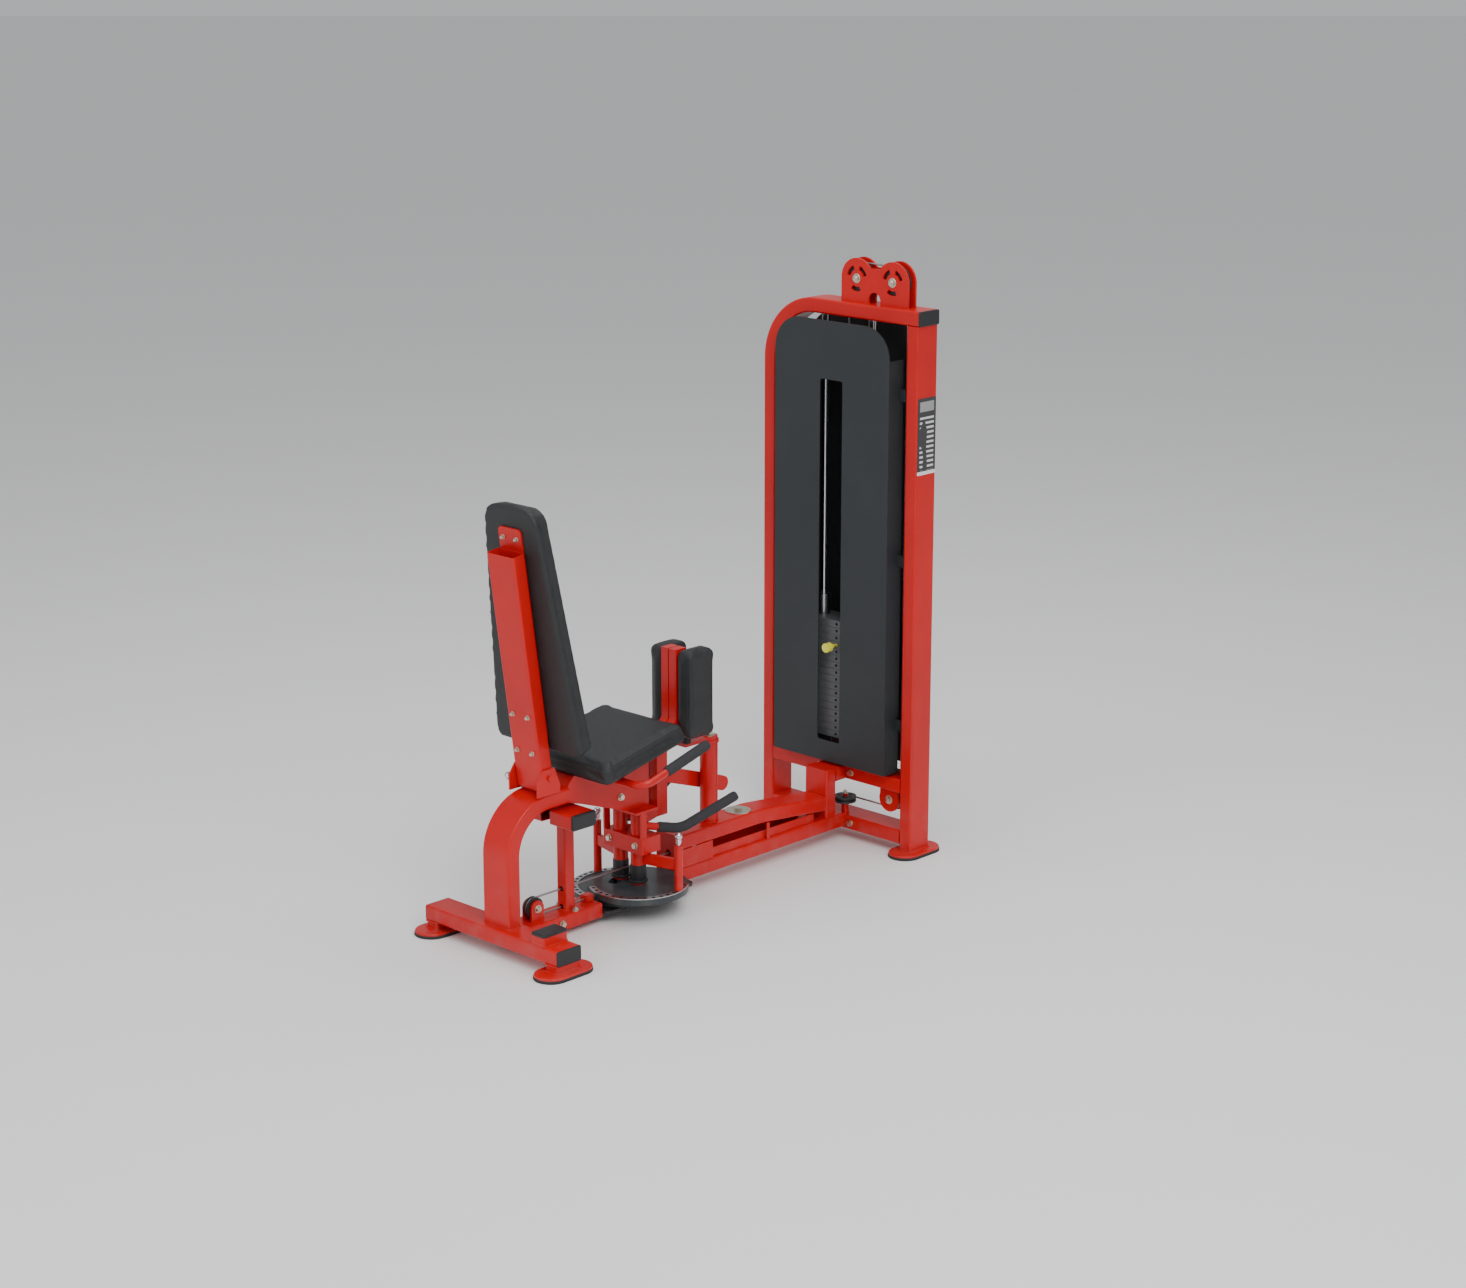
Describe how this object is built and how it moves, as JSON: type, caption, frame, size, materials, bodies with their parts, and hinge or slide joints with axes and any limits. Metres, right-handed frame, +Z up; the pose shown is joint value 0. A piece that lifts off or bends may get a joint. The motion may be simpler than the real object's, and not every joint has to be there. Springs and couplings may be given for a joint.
{
  "type": "hip abductor machine",
  "caption": "Seated hip abductor machine: red tube frame, tilted seat, reclining back, swinging thigh pads on index discs, and a shrouded cable weight stack.",
  "frame": {"origin": "On the floor, at the middle of the machine's outer box.", "axes": "+Z up. +Y is the way the seated user faces, towards the weight tower. +X is the user's right."},
  "size_m": [0.75, 1.8096, 2.012],
  "materials": {
    "red": "gloss powder coat",
    "black_paint": "satin black",
    "disc_paint": "satin dark grey",
    "shroud": "fine textured dark grey",
    "plate_iron": "painted plate",
    "guide_chrome": "polished",
    "steel": "bright zinc",
    "zinc": "pale yellow zinc",
    "chrome": "polished",
    "cable": "bare steel wire rope",
    "pulley_plastic": "moulded nylon",
    "black_plastic": "moulded",
    "yellow_knob": "bright yellow",
    "placard": "printed plain lines",
    "rubber": "moulded black",
    "foam": "closed-cell foam sleeve",
    "upholstery": "black vinyl"
  },
  "bodies": {
    "root": {"tower_bent_tube": "red", "tower_right_leg": "red", "tower_base_crossbar": "red", "tower_mid_crossbar": "red", "end_caps": "black_plastic", "top_pulley_bracket": "red", "low_pulley_brackets": "red", "guide_rods": "guide_chrome", "rubber_bumpers": "rubber", "lower_plates": "plate_iron", "front_shroud": "shroud", "rear_shroud": "shroud", "instruction_placard": "placard", "upper_rail": "red", "lower_rail": "red", "beam_end_column": "red", "beam_web_plates": "red", "rear_spine": "red", "rear_crossbar": "red", "foot_plates": "red", "foot_rubbers": "rubber", "stub_post": "red", "curved_post": "red", "seat_frame": "red", "seat_supports": "red", "pivot_block": "red", "cam_base_plate": "black_paint", "pivot_shafts": "steel", "seat_pad": "upholstery", "grip_tubes": "red", "grip_foams": "foam", "centre_post": "red", "stop_bars": "red", "main_cable": "cable", "cable_drop": "cable", "frame_fasteners": "zinc", "recline_bracket": "red"},
    "lift_stack": {"lifted_plates": "plate_iron", "selector_rod": "steel"},
    "selector_pin": {"selector_pin": "yellow_knob"},
    "backrest": {"back_upright": "red", "back_pad": "upholstery"},
    "recline_pin": {"recline_pin": "chrome"},
    "top_left_pulley": {"top_left_pulley": "pulley_plastic"},
    "top_right_pulley": {"top_right_pulley": "pulley_plastic"},
    "lower_pulley": {"lower_pulley": "pulley_plastic"},
    "turn_pulley": {"turn_pulley": "pulley_plastic"},
    "rear_pulley": {"rear_pulley": "pulley_plastic"},
    "right_cam": {"right_cam": "disc_paint", "right_index_arc": "steel"},
    "right_arm": {"right_arm": "red", "right_foot_foam": "foam", "right_thigh_pad": "upholstery"},
    "right_index_pin": {"right_index_pin": "chrome"},
    "left_cam": {"left_cam": "disc_paint", "left_index_arc": "steel"},
    "left_arm": {"left_arm": "red", "left_foot_foam": "foam", "left_thigh_pad": "upholstery"},
    "left_index_pin": {"left_index_pin": "chrome"}
  },
  "joints": [
    {"name": "stack_lift", "type": "slide", "parent": "root", "child": "lift_stack", "axis": [0, 0, 1], "range_m": [0, 0.2], "deforming": ["cable_drop"]},
    {"name": "selector_pin_pull", "type": "slide", "parent": "lift_stack", "child": "selector_pin", "axis": [0, -1, 0], "range_m": [0, 0.05]},
    {"name": "right_cam_swing", "type": "hinge", "parent": "root", "child": "right_cam", "pos_m": [0.04, -0.245, 0.081], "axis": [0, 0, -1], "range_deg": [0, 35]},
    {"name": "left_cam_swing", "type": "hinge", "parent": "root", "child": "left_cam", "pos_m": [-0.04, -0.245, 0.056], "axis": [0, 0, 1], "range_deg": [0, 35]},
    {"name": "right_start_adjust", "type": "hinge", "parent": "right_cam", "child": "right_arm", "pos_m": [0.04, -0.245, 0.2], "axis": [0, 0, -1], "range_deg": [0, 10]},
    {"name": "left_start_adjust", "type": "hinge", "parent": "left_cam", "child": "left_arm", "pos_m": [-0.04, -0.245, 0.2], "axis": [0, 0, 1], "range_deg": [0, 10]},
    {"name": "right_index_pin_pull", "type": "slide", "parent": "right_arm", "child": "right_index_pin", "axis": [0, 0, -1], "range_m": [0, 0.008]},
    {"name": "left_index_pin_pull", "type": "slide", "parent": "left_arm", "child": "left_index_pin", "axis": [0, 0, -1], "range_m": [0, 0.008]},
    {"name": "back_recline", "type": "hinge", "parent": "root", "child": "backrest", "pos_m": [0, -0.652, 0.545], "axis": [1, 0, 0], "range_deg": [0, 20]},
    {"name": "recline_pin_pull", "type": "slide", "parent": "backrest", "child": "recline_pin", "axis": [-1, 0, 0], "range_m": [0, 0.02], "stiffness_N_per_m": 900, "springref_m": -0.004},
    {"name": "top_left_pulley_spin", "type": "hinge", "parent": "root", "child": "top_left_pulley", "pos_m": [0.05, 0.8, 1.945], "axis": [0, 1, 0], "range_deg": [0, 230.18]},
    {"name": "top_right_pulley_spin", "type": "hinge", "parent": "root", "child": "top_right_pulley", "pos_m": [0.206, 0.8, 1.945], "axis": [0, 1, 0], "range_deg": [0, 230.18]},
    {"name": "lower_pulley_spin", "type": "hinge", "parent": "root", "child": "lower_pulley", "pos_m": [0.222, 0.8, 0.174], "axis": [0, 1, 0], "range_deg": [0, 338.03]},
    {"name": "turn_pulley_spin", "type": "hinge", "parent": "root", "child": "turn_pulley", "pos_m": [0.034, 0.766, 0.14], "axis": [0, 0, -1], "range_deg": [0, 338.03]},
    {"name": "rear_pulley_spin", "type": "hinge", "parent": "root", "child": "rear_pulley", "pos_m": [0, -0.668, 0.11], "axis": [1, 0, 0], "range_deg": [0, 382.97]}
  ],
  "couplings": [
    {"joint": "right_cam_swing", "follows": "stack_lift", "rad_per_m": 3.0543},
    {"joint": "left_cam_swing", "follows": "stack_lift", "rad_per_m": 3.0543},
    {"joint": "top_left_pulley_spin", "follows": "stack_lift", "rad_per_m": 20},
    {"joint": "top_right_pulley_spin", "follows": "stack_lift", "rad_per_m": 20},
    {"joint": "lower_pulley_spin", "follows": "stack_lift", "rad_per_m": 29.412},
    {"joint": "turn_pulley_spin", "follows": "stack_lift", "rad_per_m": 29.412},
    {"joint": "rear_pulley_spin", "follows": "stack_lift", "rad_per_m": 33.333}
  ]
}
